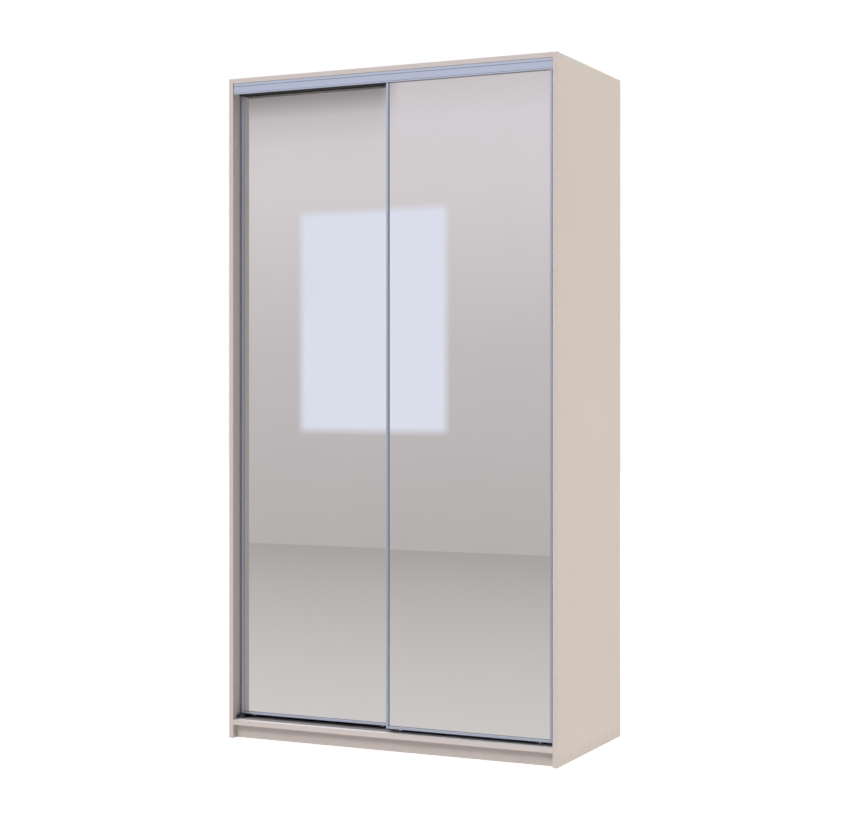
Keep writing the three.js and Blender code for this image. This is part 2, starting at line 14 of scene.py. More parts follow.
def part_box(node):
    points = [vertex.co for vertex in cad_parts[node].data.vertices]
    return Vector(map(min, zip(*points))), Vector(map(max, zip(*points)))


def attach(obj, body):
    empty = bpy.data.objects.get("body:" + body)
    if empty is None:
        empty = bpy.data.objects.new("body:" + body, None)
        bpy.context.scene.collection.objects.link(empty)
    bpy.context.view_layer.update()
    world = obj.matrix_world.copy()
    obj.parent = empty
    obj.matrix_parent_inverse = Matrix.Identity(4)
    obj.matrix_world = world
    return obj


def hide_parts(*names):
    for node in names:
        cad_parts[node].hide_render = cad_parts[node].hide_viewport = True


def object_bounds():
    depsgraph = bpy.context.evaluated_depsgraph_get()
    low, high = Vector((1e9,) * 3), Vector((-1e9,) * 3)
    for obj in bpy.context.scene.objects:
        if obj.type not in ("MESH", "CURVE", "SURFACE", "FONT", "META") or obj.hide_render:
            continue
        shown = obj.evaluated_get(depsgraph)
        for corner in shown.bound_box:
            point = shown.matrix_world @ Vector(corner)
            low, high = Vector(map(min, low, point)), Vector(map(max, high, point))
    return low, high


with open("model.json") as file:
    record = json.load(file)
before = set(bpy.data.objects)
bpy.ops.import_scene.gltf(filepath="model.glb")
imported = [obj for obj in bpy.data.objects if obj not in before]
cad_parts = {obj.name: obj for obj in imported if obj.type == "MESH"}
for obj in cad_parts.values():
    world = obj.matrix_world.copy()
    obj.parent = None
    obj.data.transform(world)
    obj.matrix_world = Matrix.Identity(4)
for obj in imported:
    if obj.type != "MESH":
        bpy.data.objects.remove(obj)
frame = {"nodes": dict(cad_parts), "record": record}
cad_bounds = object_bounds()
NODES = frame["nodes"]

MM = 0.001
FRONT = cad_bounds[0].y
INNER_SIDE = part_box("top_panel")[1].x
DOORS = ("left_door", "right_door")
ENDS = ("left", "right")
dice = random.Random(7)


# ---------------------------------------------------------------- camera
CAMERA_PLACE = (2.680, -5.662, 1.181)
CAMERA_TURN = 25.34
SENSOR_MM = 36.0
LENS_MM = 77.45
RISE = -0.021


def make_camera():
    data = bpy.data.cameras.new("camera")
    data.sensor_width = SENSOR_MM
    data.lens = LENS_MM
    data.shift_y = RISE
    data.clip_end = 100.0
    camera = bpy.data.objects.new("camera", data)
    camera.location = CAMERA_PLACE
    camera.rotation_euler = (math.pi / 2, 0.0, math.radians(CAMERA_TURN))
    bpy.context.scene.collection.objects.link(camera)
    bpy.context.scene.camera = camera


# ---------------------------------------------------------------- node materials
def shade(color, factor):
    return tuple(min(1.0, c * factor) for c in color)


class Look:
    """A node material, with short calls for the textures that the materials here share."""

    def __init__(self, name, color, roughness, metallic=0.0, **sockets):
        self.material = bpy.data.materials.new(name)
        self.material.use_nodes = True
        self.tree = self.material.node_tree
        self.shader = self.tree.nodes["Principled BSDF"]
        self.material.diffuse_color = (*color, 1.0)
        self.set("Base Color", (*color, 1.0))
        self.set("Roughness", roughness)
        self.set("Metallic", metallic)
        for socket, value in sockets.items():
            self.set(socket.replace("_", " "), value)
        self.coords = self.add("ShaderNodeTexCoord").outputs["Object"]

    def set(self, socket, value):
        self.shader.inputs[socket].default_value = value

    def to(self, socket, value):
        self.feed(self.shader.inputs[socket], value)

    def add(self, kind, **inputs):
        node = self.tree.nodes.new(kind)
        for key, value in inputs.items():
            self.feed(node.inputs[key.replace("_", " ")], value)
        return node

    def feed(self, socket, value):
        if isinstance(value, bpy.types.NodeSocket):
            self.tree.links.new(value, socket)
        else:
            socket.default_value = value

    def stretched(self, scale):
        return self.add("ShaderNodeMapping", Vector=self.coords, Scale=scale).outputs["Vector"]

    def noise(self, scale, detail=2.0, vector=None, roughness=0.5):
        place = vector or self.coords
        node = self.add("ShaderNodeTexNoise", Vector=place, Scale=scale, Detail=detail, Roughness=roughness)
        return node.outputs["Fac"]

    def cells(self, scale):
        return self.add("ShaderNodeTexVoronoi", Vector=self.coords, Scale=scale).outputs["Color"]

    def spread(self, value, low, high, start=0.0, end=1.0):
        """Maps value from start..end to low..high, and holds it at both ends."""
        node = self.add("ShaderNodeMapRange", Value=value)
        for key, number in (("From Min", start), ("From Max", end), ("To Min", low), ("To Max", high)):
            node.inputs[key].default_value = number
        return node.outputs["Result"]

    def math(self, operation, a, b=0.0):
        node = self.tree.nodes.new("ShaderNodeMath")
        node.operation = operation
        self.feed(node.inputs[0], a)
        self.feed(node.inputs[1], b)
        return node.outputs["Value"]

    def axis(self, letter):
        return self.add("ShaderNodeSeparateXYZ", Vector=self.coords).outputs[letter]

    def facing(self, letter):
        """How far the surface faces the positive direction of an axis."""
        normal = self.add("ShaderNodeNewGeometry").outputs["Normal"]
        return self.add("ShaderNodeSeparateXYZ", Vector=normal).outputs[letter]

    def near(self, value, middle, half, fade):
        """1 where value is within half of middle, and 0 beyond a narrow fade."""
        away = self.math("ABSOLUTE", self.math("SUBTRACT", value, middle))
        return self.spread(away, 1.0, 0.0, half, half + fade)

    def blend(self, factor, first, second):
        node = self.tree.nodes.new("ShaderNodeMix")
        node.data_type = "RGBA"
        for index, value in ((0, factor), (6, first), (7, second)):
            if isinstance(value, tuple) and len(value) == 3:
                value = (*value, 1.0)
            self.feed(node.inputs[index], value)
        return node.outputs[2]

    def bump(self, height, strength, distance):
        node = self.add("ShaderNodeBump", Height=height, Strength=strength, Distance=distance)
        self.to("Normal", node.outputs["Normal"])


BOARD_COLOR = (0.612, 0.540, 0.508)
BAND_COLOR = (0.600, 0.524, 0.502)
BARE_CHIPBOARD = (0.40, 0.315, 0.255)
EDGE_BAND = 1.0 * MM
# How far down the painted shade under a board above reaches.
PAINTED_SHADE_REACH = 22 * MM


def board_surface(look, color):
    """Tone and roughness of a melamine face: clouds, stipple, pearl, wiping marks and a soiled foot."""
    cloud = look.spread(look.noise(2.4, 3.0), 0.0, 1.0, 0.3, 0.7)
    stipple = look.spread(look.noise(230.0, 4.0, roughness=0.65), 0.0, 0.5, 0.4, 0.66)
    pearl = look.spread(look.noise(650.0, 2.0), 0.0, 0.26, 0.45, 0.75)
    streaks = look.noise(5.0, 6.0, look.stretched((1.0, 1.0, 0.3)), 0.62)
    wiped = look.spread(streaks, 0.0, 1.0, 0.54, 0.7)
    tone = look.blend(cloud, shade(color, 0.99), shade(color, 1.028))
    tone = look.blend(stipple, tone, shade(color, 0.925))
    tone = look.blend(pearl, tone, shade(color, 0.78))
    tone = look.blend(look.math("MULTIPLY", wiped, 0.4), tone, shade(color, 1.06))
    ragged = look.math("MULTIPLY", look.noise(22.0, 4.0), 60 * MM)
    foot = look.spread(look.math("SUBTRACT", look.axis("Z"), ragged), 0.45, 0.0, -20 * MM, 8 * MM)
    tone = look.blend(foot, tone, shade(color, 0.8))
    rough = look.spread(look.noise(420.0, 2.0), 0.43, 0.55)
    return tone, look.math("ADD", rough, look.math("MULTIPLY", wiped, 0.08))


def banded_edge(look, color, front, tone, rough):
    """Adds the edge band at a board's front, the hairline behind it, and a little wear along the arris."""
    depth = look.math("SUBTRACT", look.axis("Y"), front)
    band = look.spread(depth, 1.0, 0.0, EDGE_BAND, EDGE_BAND + 0.05 * MM)
    seam = look.near(depth, EDGE_BAND, 0.06 * MM, 0.16 * MM)
    arris = look.near(look.facing("Y"), -0.6, 0.3, 0.08)
    worn = look.math("MULTIPLY", arris, look.spread(look.noise(75.0, 4.0), 0.0, 0.55, 0.56, 0.66))
    tone = look.blend(band, tone, BAND_COLOR)
    tone = look.blend(look.math("MULTIPLY", seam, 0.6), tone, shade(color, 0.4))
    tone = look.blend(worn, tone, BARE_CHIPBOARD)
    return tone, look.math("SUBTRACT", rough, look.math("MULTIPLY", band, 0.08))


def board_look(name, front=None, color=BOARD_COLOR, under=None):
    """Melamine-faced board with a fine emboss.

    front is the depth of its banded edge. under is the height of a board above it; just below that height the
    face is darker, painted shade for the shade that board casts.
    """
    look = Look(name, color, 0.5, Specular_IOR_Level=0.4)
    tone, rough = board_surface(look, color)
    if front is not None:
        tone, rough = banded_edge(look, color, front, tone, rough)
    if under is not None:
        # Painted shade: darker towards the top, just under the board above, where it shades this face.
        painted_shade_under_board = look.spread(look.axis("Z"), 0.0, 1.0, under - PAINTED_SHADE_REACH, under)
        tone = look.blend(painted_shade_under_board, tone, shade(color, 0.74))
    look.to("Base Color", tone)
    look.to("Roughness", rough)
    look.bump(look.noise(1000.0, 3.0), 0.16, 0.2 * MM)
    return look.material


def back_sheet_look():
    """Hardboard: a pale lacquered face inside, raw brown fibre outside."""
    inside, outside = (0.70, 0.655, 0.62), (0.285, 0.192, 0.122)
    speck, rubbed = (0.18, 0.115, 0.07), (0.42, 0.33, 0.24)
    look = Look("back_sheet", outside, 0.7)
    fibre = look.noise(240.0, 4.0, look.stretched((1.0, 1.0, 0.35)), 0.65)
    fleck = look.spread(look.noise(1500.0, 2.0), 0.0, 0.5, 0.55, 0.75)
    cloud = look.spread(look.noise(2.6, 4.0), 0.0, 0.45, 0.35, 0.65)
    scuff = look.spread(look.noise(7.0, 6.0, look.stretched((1.0, 1.0, 0.2)), 0.7), 0.0, 0.5, 0.6, 0.72)
    brown = look.blend(look.spread(fibre, 0.0, 1.0, 0.35, 0.65), shade(outside, 0.8), shade(outside, 1.18))
    brown = look.blend(fleck, brown, speck)
    brown = look.blend(cloud, brown, shade(outside, 1.3))
    brown = look.blend(scuff, brown, rubbed)
    rear = look.spread(look.facing("Y"), 0.0, 1.0, -0.1, 0.1)
    look.to("Base Color", look.blend(rear, inside, brown))
    look.to("Roughness", look.spread(rear, 0.5, 0.8))
    look.bump(fibre, 0.25, 0.2 * MM)
    return look.material


ALUMINIUM = (0.575, 0.635, 0.795)
# Near white aluminium for the bottom track: a painted highlight on its front flange.
BRIGHTENED_ALUMINIUM = (0.93, 0.915, 0.925)
# Pale mill finish for the fascia's rear face: partly its real bare metal, partly painted light on a face in
# shade.
LIGHTENED_MILL_FINISH = (0.86, 0.82, 0.80)
# Painted shade for the fascia's lines and its joints with the boards.
PAINTED_GROOVE_SHADE = (0.26, 0.25, 0.25)
# Near black for the top track's channel: painted shade, under a mottle of dust.
TOP_TRACK_INSIDE_SHADE = (0.06, 0.058, 0.056)
BOTTOM_TRACK_DUST = (0.32, 0.305, 0.305)
FASCIA_WALL = 2 * MM
FASCIA_LINE = 1.2 * MM
CLEAN_FLANGE = 19 * MM


def satin(name, color, along):
    """A satin anodised section: its look, and its tone and roughness with die lines along its length."""
    look = Look(name, color, 0.34, 1.0, Specular_IOR_Level=0.25)
    scale = tuple(0.015 if axis == along else 1.0 for axis in "XYZ")
    lines = look.spread(look.noise(1500.0, 2.0, look.stretched(scale), 0.6), 0.0, 1.0, 0.3, 0.7)
    cloud = look.spread(look.noise(6.0, 2.0), 0.0, 0.5, 0.35, 0.7)
    tone = look.blend(lines, shade(color, 0.97), shade(color, 1.03))
    look.bump(lines, 0.06, 0.05 * MM)
    return look, look.blend(cloud, tone, shade(color, 0.965)), look.spread(lines, 0.31, 0.38)


def aluminium_look(name, along):
    look, tone, rough = satin(name, ALUMINIUM, along)
    look.to("Base Color", tone)
    look.to("Roughness", rough)
    return look.material


def dull(look, tone, rough, depth, inside_tone):
    """Makes the section unpolished past a depth along Y, and gives it the colour passed in there, with a
    mottle of dust. In the bottom track that colour is dust grey; in the top track's channel it is near black,
    painted shade.

    Returns a mask of that part, with the new tone and roughness.
    """
    inside = look.spread(look.axis("Y"), 0.0, 1.0, depth, depth + 0.6 * MM)
    dust = look.spread(look.noise(60.0, 4.0, look.stretched((0.12, 1.0, 1.0))), 0.0, 1.0, 0.35, 0.65)
    grey = look.blend(dust, shade(inside_tone, 0.93), shade(inside_tone, 1.07))
    rough = look.math("ADD", rough, look.math("MULTIPLY", inside, 0.25))
    return inside, look.blend(inside, tone, grey), rough


def top_track_look():
    """A clean fascia whose two lines and joints are darkened with painted shade; behind it, a channel painted
    near black with a mottle of dust, which is painted shade, and a rear face painted pale mill finish, partly
    painted light.
    """
    look, tone, rough = satin("top_track", ALUMINIUM, "X")
    top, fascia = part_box("top_track")[1].z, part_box("top_track")[0].y
    ends = look.near(look.math("ABSOLUTE", look.axis("X")), INNER_SIDE, 1.0 * MM, 1.5 * MM)
    joint = look.math("MAXIMUM", look.near(look.axis("Z"), top, 0.7 * MM, 0.7 * MM), ends)
    groove = look.near(look.axis("Y"), fascia + FASCIA_LINE, 0.6 * MM, 0.2 * MM)
    # Painted shade: the fascia's two lines and its joints with the boards are darkened, where shade falls in
    # them.
    tone = look.blend(look.math("MAXIMUM", joint, groove), tone, PAINTED_GROOVE_SHADE)
    # Painted shade: the channel behind the fascia is near black and barely metallic, with a mottle of dust.
    inside, tone, rough = dull(look, tone, rough, fascia + FASCIA_WALL + 1 * MM, TOP_TRACK_INSIDE_SHADE)
    wall = look.near(look.axis("Y"), fascia + FASCIA_WALL, 0.3 * MM, 0.3 * MM)
    back = look.math("MULTIPLY", look.facing("Y"), wall)
    # The fascia's rear face is painted pale mill finish and barely metallic, lightening a face that is in
    # shade: partly real, partly painted light.
    tone = look.blend(look.spread(back, 0.0, 1.0, 0.4, 0.6), tone, LIGHTENED_MILL_FINISH)
    look.to("Base Color", tone)
    look.to("Roughness", rough)
    look.to("Metallic", look.spread(look.math("MAXIMUM", inside, back), 1.0, 0.1))
    return look.material


def bottom_track_look():
    """A front flange painted near white and barely metallic, a painted highlight for the light that falls on
    it from above, and grooves behind it with dust.
    """
    # Painted highlight: the flange is near white and barely metallic, so that it reads bright.
    look, tone, rough = satin("bottom_track", BRIGHTENED_ALUMINIUM, "X")
    inside, tone, rough = dull(look, tone, rough, FRONT + CLEAN_FLANGE, BOTTOM_TRACK_DUST)
    look.to("Base Color", tone)
    look.to("Roughness", rough)
    look.to("Metallic", look.spread(inside, 0.2, 0.1))
    return look.material


def mirror_look():
    """Silvered float glass with a trace of wiping marks, ground greenish edges and grey paint on its back."""
    silver, paint, edge = (0.93, 0.94, 0.945), (0.20, 0.205, 0.21), (0.20, 0.33, 0.29)
    look = Look("mirror", silver, 0.01, 1.0)
    wipe = look.noise(5.0, 4.0, look.stretched((1.0, 1.0, 0.5)), 0.6)
    front = look.spread(look.facing("Y"), 1.0, 0.0, -0.9, -0.6)
    rear = look.spread(look.facing("Y"), 0.0, 1.0, 0.6, 0.9)
    glass = look.blend(look.spread(wipe, 0.0, 1.0, 0.4, 0.75), silver, shade(silver, 0.985))
    roller = look.spread(look.noise(400.0, 3.0), 0.0, 1.0, 0.3, 0.7)
    coat = look.blend(roller, shade(paint, 0.85), shade(paint, 1.15))
    look.to("Base Color", look.blend(front, look.blend(rear, edge, coat), glass))
    look.to("Metallic", look.spread(front, 0.0, 1.0))
    smooth = look.spread(wipe, 0.0, 0.02, 0.42, 0.8)
    look.to("Roughness", look.math("ADD", smooth, look.spread(front, 0.45, 0.0)))
    return look.material


def plastic_look(name, color, roughness):
    look = Look(name, color, roughness)
    fine = look.noise(1600.0, 2.0)
    cloud = look.spread(look.noise(60.0), 0.0, 1.0, 0.3, 0.7)
    look.to("Base Color", look.blend(cloud, shade(color, 0.94), shade(color, 1.05)))
    look.to("Roughness", look.spread(fine, roughness - 0.07, roughness + 0.07))
    look.bump(fine, 0.12, 0.1 * MM)
    return look.material


def steel_look(name, color):
    """Plated steel with a faint spangle."""
    look = Look(name, color, 0.38, 1.0)
    look.to("Base Color", look.blend(look.cells(420.0), shade(color, 0.88), shade(color, 1.1)))
    look.to("Roughness", look.spread(look.noise(700.0, 3.0), 0.3, 0.46))
    look.bump(look.noise(1100.0, 2.0), 0.1, 0.08 * MM)
    return look.material


def chrome_look():
    color = (0.79, 0.795, 0.80)
    look = Look("chrome", color, 0.09, 1.0)
    smudge = look.noise(28.0, 4.0)
    look.to("Roughness", look.spread(smudge, 0.06, 0.15, 0.35, 0.75))
    veil = look.spread(smudge, 0.0, 1.0, 0.35, 0.7)
    look.to("Base Color", look.blend(veil, color, shade(color, 0.93)))
    look.bump(look.noise(300.0, 2.0), 0.02, 0.05 * MM)
    return look.material


def rubber_look(name, color):
    look = Look(name, color, 0.62)
    fine = look.noise(900.0, 3.0)
    bloom = look.spread(fine, 0.0, 1.0, 0.35, 0.7)
    look.to("Base Color", look.blend(bloom, color, shade(color, 1.9)))
    look.to("Roughness", look.spread(fine, 0.52, 0.72))
    look.bump(fine, 0.15, 0.1 * MM)
    return look.material


def pile_look():
    color = (0.135, 0.138, 0.145)
    look = Look("pile", color, 0.95, Sheen_Weight=0.35)
    hair = look.noise(2600.0, 3.0)
    lit = look.spread(hair, 0.0, 1.0, 0.35, 0.7)
    look.to("Base Color", look.blend(lit, shade(color, 0.55), shade(color, 1.5)))
    look.bump(hair, 0.5, 0.3 * MM)
    return look.material


# The plinth is a darker copy of the board colour: painted shade for the shade under the bottom board.
SHADED_PLINTH_COLOR = shade(BOARD_COLOR, 0.92)
LOOKS = {
    "board_outer": board_look("board_outer", FRONT),
    "board_shelf": board_look("board_shelf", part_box("shelf_1")[0].y),
    "board_partition": board_look("board_partition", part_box("centre_partition")[0].y),
    "board_plinth": board_look("board_plinth", color=SHADED_PLINTH_COLOR, under=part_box("front_plinth")[1].z),
    "back_sheet": back_sheet_look(),
    "top_track": top_track_look(),
    "bottom_track": bottom_track_look(),
    "aluminium_x": aluminium_look("aluminium_x", "X"),
    "aluminium_z": aluminium_look("aluminium_z", "Z"),
    "mirror": mirror_look(),
    "chrome": chrome_look(),
    "steel": steel_look("steel", (0.56, 0.565, 0.57)),
    # The roller carriages' steel is near black: painted shade, for the dark gap under the doors where they
    # run.
    "roller_carriage": steel_look("roller_carriage", (0.07, 0.072, 0.076)),
    "dark_plastic": plastic_look("dark_plastic", (0.022, 0.022, 0.024), 0.5),
    "pale_plastic": plastic_look("pale_plastic", (0.62, 0.61, 0.59), 0.42),
    "cap_plastic": plastic_look("cap_plastic", shade(BOARD_COLOR, 0.97), 0.4),
    "gasket": rubber_look("gasket", (0.03, 0.03, 0.033)),
    "seal_lip": rubber_look("seal_lip", (0.135, 0.128, 0.122)),
    "pile": pile_look(),
}


# ---------------------------------------------------------------- finish of the CAD nodes
ROUNDING = {"board": 0.7 * MM, "aluminium": 0.25 * MM, "mirror": 0.3 * MM}
OTHER_ROUNDING = 0.2 * MM
WELD_REACH = 0.01 * MM
SHARP_EDGE = math.radians(35)


def look_of(node, slot):
    """The look of a CAD node, by its slot and by the word in its name that sets it apart within the slot."""
    if slot == "board":
        kinds = [kind for kind in ("shelf", "partition", "plinth") if kind in node]
        return LOOKS["board_" + (kinds[0] if kinds else "outer")]
    if slot == "aluminium":
        return LOOKS.get(node) or LOOKS["aluminium_z" if "stile" in node else "aluminium_x"]
    if "roller_carriage" in node:
        return LOOKS["roller_carriage"]
    return LOOKS[slot]


def soften(obj, width, segments):
    bevel = obj.modifiers.new("bevel", "BEVEL")
    bevel.width = width
    bevel.segments = segments
    bevel.limit_method = "ANGLE"
    bevel.angle_limit = SHARP_EDGE
    bevel.harden_normals = True


def dress_node(node, slot):
    """Gives a CAD node its material, and softens its edges."""
    obj = NODES[node]
    for material_slot in obj.material_slots:
        material_slot.material = look_of(node, slot)
    weld = obj.modifiers.new("weld", "WELD")
    weld.merge_threshold = WELD_REACH
    soften(obj, ROUNDING.get(slot, OTHER_ROUNDING), 3)


for part in frame["record"]["subparts"]:
    dress_node(part["node"], part["material_slot"])


# ---------------------------------------------------------------- shapes of the small pieces
SCREW_HEAD = ((1.0, 0.25), (0.93, 0.6), (0.78, 0.86))
SCREW_RECESS = ((1.0, 1.0), (0.8, 0.3))
RECESS_ARM = 0.62
RECESS_WAIST = 0.26
SCREW_SEGMENTS = 24


def circle(count):
    """The angles of count points round a circle."""
    return [2 * math.pi * i / count for i in range(count)]


def turned(radii, turns, z):
    """A ring of points in metres, from a radius in mm at each angle and a height in mm."""
    return [(r * MM * math.cos(a), r * MM * math.sin(a), z * MM) for r, a in zip(radii, turns)]


class Shape:
    """The points and faces of one piece, gathered from simple closed forms."""

    def __init__(self):
        self.points, self.faces = [], []

    def skin(self, low, high, count):
        """The faces between two rings of count points, which start at these indexes."""
        for i in range(count):
            j = (i + 1) % count
            self.faces.append((low + i, low + j, high + j, high + i))

    def rings(self, rings, place):
        """A closed skin through rings of points, with a flat cap on the first and the last."""
        start, count, last = len(self.points), len(rings[0]), len(rings) - 1
        self.points += [place @ Vector(point) for ring in rings for point in ring]
        for level in range(last):
            low = start + level * count
            self.skin(low, low + count, count)
        self.faces.append(tuple(start + i for i in reversed(range(count))))
        self.faces.append(tuple(start + last * count + i for i in range(count)))

    def loop(self, rings):
        """A closed skin through rings of points that run round to the first ring again."""
        start, count = len(self.points), len(rings[0])
        self.points += [Vector(point) for ring in rings for point in ring]
        for level in range(len(rings)):
            self.skin(start + level * count, start + (level + 1) % len(rings) * count, count)

    def lathe(self, profile, place, segments):
        """A turned form about place's Z axis, from (radius, height) pairs in mm that run up off the axis."""
        turns = circle(segments)
        self.rings([turned([r] * segments, turns, z) for r, z in profile], place)

    def prism(self, outline, z0, z1, place):
        """An outline in mm, anticlockwise in place's XY plane, between two heights in metres."""
        self.rings([[(x * MM, y * MM, z) for x, y in outline] for z in (z0, z1)], place)

    def screw(self, place, radius, height):
        """A low domed head with a cross recess, on a surface at place's XY plane. Sizes in mm."""
        turns = circle(SCREW_SEGMENTS)
        cross = [RECESS_ARM if math.cos(4 * a) > 0.4 else RECESS_WAIST for a in turns]
        rings = [turned([0.96 * radius] * SCREW_SEGMENTS, turns, -0.1)]
        for scale, level in SCREW_HEAD:
            rings.append(turned([scale * radius] * SCREW_SEGMENTS, turns, level * height))
        for scale, level in SCREW_RECESS:
            rings.append(turned([scale * radius * reach for reach in cross], turns, level * height))
        self.rings(rings, place)


def facing(place, direction, turn=0.0):
    """A placing at place whose Z axis points in direction, turned about it by turn."""
    aim = Vector(direction).to_track_quat("Z", "Y").to_matrix().to_4x4()
    return Matrix.Translation(Vector(place)) @ aim @ Matrix.Rotation(turn, 4, "Z")


def squared(place, x, y):
    """A placing at place with these X and Y directions."""
    x, y = Vector(x), Vector(y)
    turn = Matrix((x, y, x.cross(y))).transposed().to_4x4()
    return Matrix.Translation(Vector(place)) @ turn


def piece(name, shape, look, body, smooth=35, rounding=0.0):
    """Makes the object of a shape, with its material, and lets it ride on a body."""
    mesh = bpy.data.meshes.new(name)
    mesh.from_pydata(shape.points, [], shape.faces)
    mesh.materials.append(LOOKS[look])
    mesh.shade_smooth()
    mesh.set_sharp_from_angle(angle=math.radians(smooth))
    obj = bpy.data.objects.new(name, mesh)
    bpy.context.scene.collection.objects.link(obj)
    if rounding:
        soften(obj, rounding, 2)
    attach(obj, body)
    return obj


# ---------------------------------------------------------------- brush seals of the doors
BRUSH_BASE = ((0, -4), (0.9, -4), (1.2, -3.4), (1.2, 3.4), (0.9, 4), (0, 4))
PILE_ROOT = 1.1 * MM
TUFT_HALVES = (1.85 * MM, 2.35 * MM)
TUFT_PITCH = 1.9 * MM
FIRST_TUFT = 1.5 * MM
SCREW_ROOM = 30 * MM


def make_brush(door, node, turn):
    """A plastic base with dense pile, whose ridges and tips vary a little. turn is the way that it faces."""
    low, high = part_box(node)
    middle = (low + high) / 2
    out = Vector((math.cos(turn), math.sin(turn), 0.0))
    reach = abs((high - low).dot(out))
    place = squared(Vector((middle.x, middle.y, 0.0)) - out * reach / 2, out, (-out.y, out.x, 0.0))
    z0, z1 = low.z + SCREW_ROOM, high.z - SCREW_ROOM
    base = Shape()
    base.prism(BRUSH_BASE, z0, z1, place)
    piece(f"{node}_base", base, "dark_plastic", door, rounding=0.15 * MM)
    rings = []
    for i in range(int((z1 - z0) / TUFT_PITCH)):
        half = TUFT_HALVES[i % 2] * dice.uniform(0.94, 1.04)
        tip = reach - dice.uniform(0.05, 0.5) * MM
        lean = dice.uniform(-0.25, 0.25) * MM
        z = z0 + FIRST_TUFT + i * TUFT_PITCH
        side = ((PILE_ROOT, half), (0.55 * tip, 1.05 * half), (0.9 * tip, 0.8 * half), (tip, 0.35 * half))
        rings.append([(x, lean - y, z) for x, y in side] + [(x, lean + y, z) for x, y in reversed(side)])
    pile = Shape()
    pile.rings(rings, place)
    pile_piece = piece(f"{node}_pile", pile, "pile", door, smooth=50)
    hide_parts(node)


# ---------------------------------------------------------------- seal lips round the glass
LIP = ((0, 0), (1.5, 0), (1.35, 0.55), (0.85, 1.1), (0.4, 1.6), (0, 1.9))
FRAME_FACE = 8 * MM


def make_seal_lip(door):
    """The soft lip of the gasket, in the corner between the glass and the frame on all four sides."""
    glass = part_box(f"{door}_mirror")[0].y
    low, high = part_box(f"{door}_stile_left")[0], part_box(f"{door}_stile_right")[1]
    x0, x1 = low.x + FRAME_FACE, high.x - FRAME_FACE
    z0, z1 = low.z + FRAME_FACE, high.z - FRAME_FACE
    corners = ((x0, z0, 1, 1), (x1, z0, -1, 1), (x1, z1, -1, -1), (x0, z1, 1, -1))
    rings = []
    for x, z, inward_x, inward_z in corners:
        rings.append([(x + inward_x * u * MM, glass - v * MM, z + inward_z * u * MM) for u, v in LIP])
    shape = Shape()
    shape.loop(rings)
    piece(f"{door}_seal_lip", shape, "seal_lip", door, smooth=60)


# ---------------------------------------------------------------- screws, caps, supports and nails
DOOR_SCREW_END = 14 * MM
DOOR_SCREW_DEPTH = 22 * MM
SCREW_TURN = 1.5


def add_screw(shape, place, direction, radius, height):
    """A screw head with its recess turned at random."""
    shape.screw(facing(place, direction, dice.uniform(0, SCREW_TURN)), radius, height)


def make_door_screws(door):
    """The screws that hold each stile to the rails, on the stiles' outer sides."""
    shape = Shape()
    for end, side in zip(ENDS, (-1, 1)):
        low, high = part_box(f"{door}_stile_{end}")
        x = low.x if side < 0 else high.x
        for z in (low.z + DOOR_SCREW_END, high.z - DOOR_SCREW_END):
            add_screw(shape, (x, low.y + DOOR_SCREW_DEPTH, z), (side, 0, 0), 3.6, 1.5)
    piece(f"{door}_frame_screws", shape, "steel", door)


TRACK_PLATE = 1.6 * MM
TRACK_SCREW_DEPTH = 45 * MM
TRACK_SCREWS = (-0.52, -0.26, 0.0, 0.26, 0.52)
UP, DOWN = (0, 0, 1), (0, 0, -1)


def make_track_screws():
    """The bottom track's screws, in the flat strip between its two grooves."""
    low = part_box("bottom_track")[0]
    shape = Shape()
    for x in TRACK_SCREWS:
        add_screw(shape, (x, low.y + TRACK_SCREW_DEPTH, low.z + TRACK_PLATE), UP, 3.8, 1.3)
    piece("bottom_track_screws", shape, "steel", "carcass")


FLANGE_BASE = 3 * MM
FLANGE_SCREW_END = 1.9 * MM


def make_flange_screws():
    """Two small screws in each end flange of the hanging rail."""
    shape = Shape()
    for end, side in zip(ENDS, (1, -1)):
        low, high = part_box(f"rail_flange_{end}")
        wall = low.x if side > 0 else high.x
        y = (low.y + high.y) / 2
        for z in (low.z + FLANGE_SCREW_END, high.z - FLANGE_SCREW_END):
            add_screw(shape, (wall + side * FLANGE_BASE, y, z), (side, 0, 0), 1.5, 0.8)
    piece("rail_flange_screws", shape, "steel", "carcass")


SUPPORT = ((0, 0), (11, 0), (11, 1.4), (4.4, 2.1), (2.3, 4.6), (1.5, 14), (0, 14))
SUPPORT_HALF = 6 * MM
SUPPORT_INSET = 45 * MM
SUPPORT_PLATE = 1.6 * MM
SUPPORT_SCREW_DROP = 9.6 * MM


def make_shelf_supports(shelf):
    """Four small angle supports under a shelf, each with a screw in the board beside it."""
    low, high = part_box(shelf)
    angles, screws = Shape(), Shape()
    for x, out in ((low.x, 1), (high.x, -1)):
        for y in (low.y + SUPPORT_INSET, high.y - SUPPORT_INSET):
            place = squared((x, y, low.z), (out, 0, 0), DOWN)
            angles.prism(SUPPORT, -SUPPORT_HALF, SUPPORT_HALF, place)
            plate = (x + out * SUPPORT_PLATE, y, low.z - SUPPORT_SCREW_DROP)
            add_screw(screws, plate, (out, 0, 0), 2.7, 1.2)
    piece(f"{shelf}_supports", angles, "steel", "carcass", rounding=0.3 * MM)
    piece(f"{shelf}_support_screws", screws, "steel", "carcass")


CAP = ((8.8, -0.2), (9.0, 0.1), (8.9, 0.7), (8.2, 1.0), (2.2, 1.1), (1.9, 0.7), (0.5, 0.68))
CAP_SEGMENTS = 40
CAP_END = 34 * MM
CAP_FRONT_ROW = 55 * MM
CAP_REAR_ROW = 60 * MM


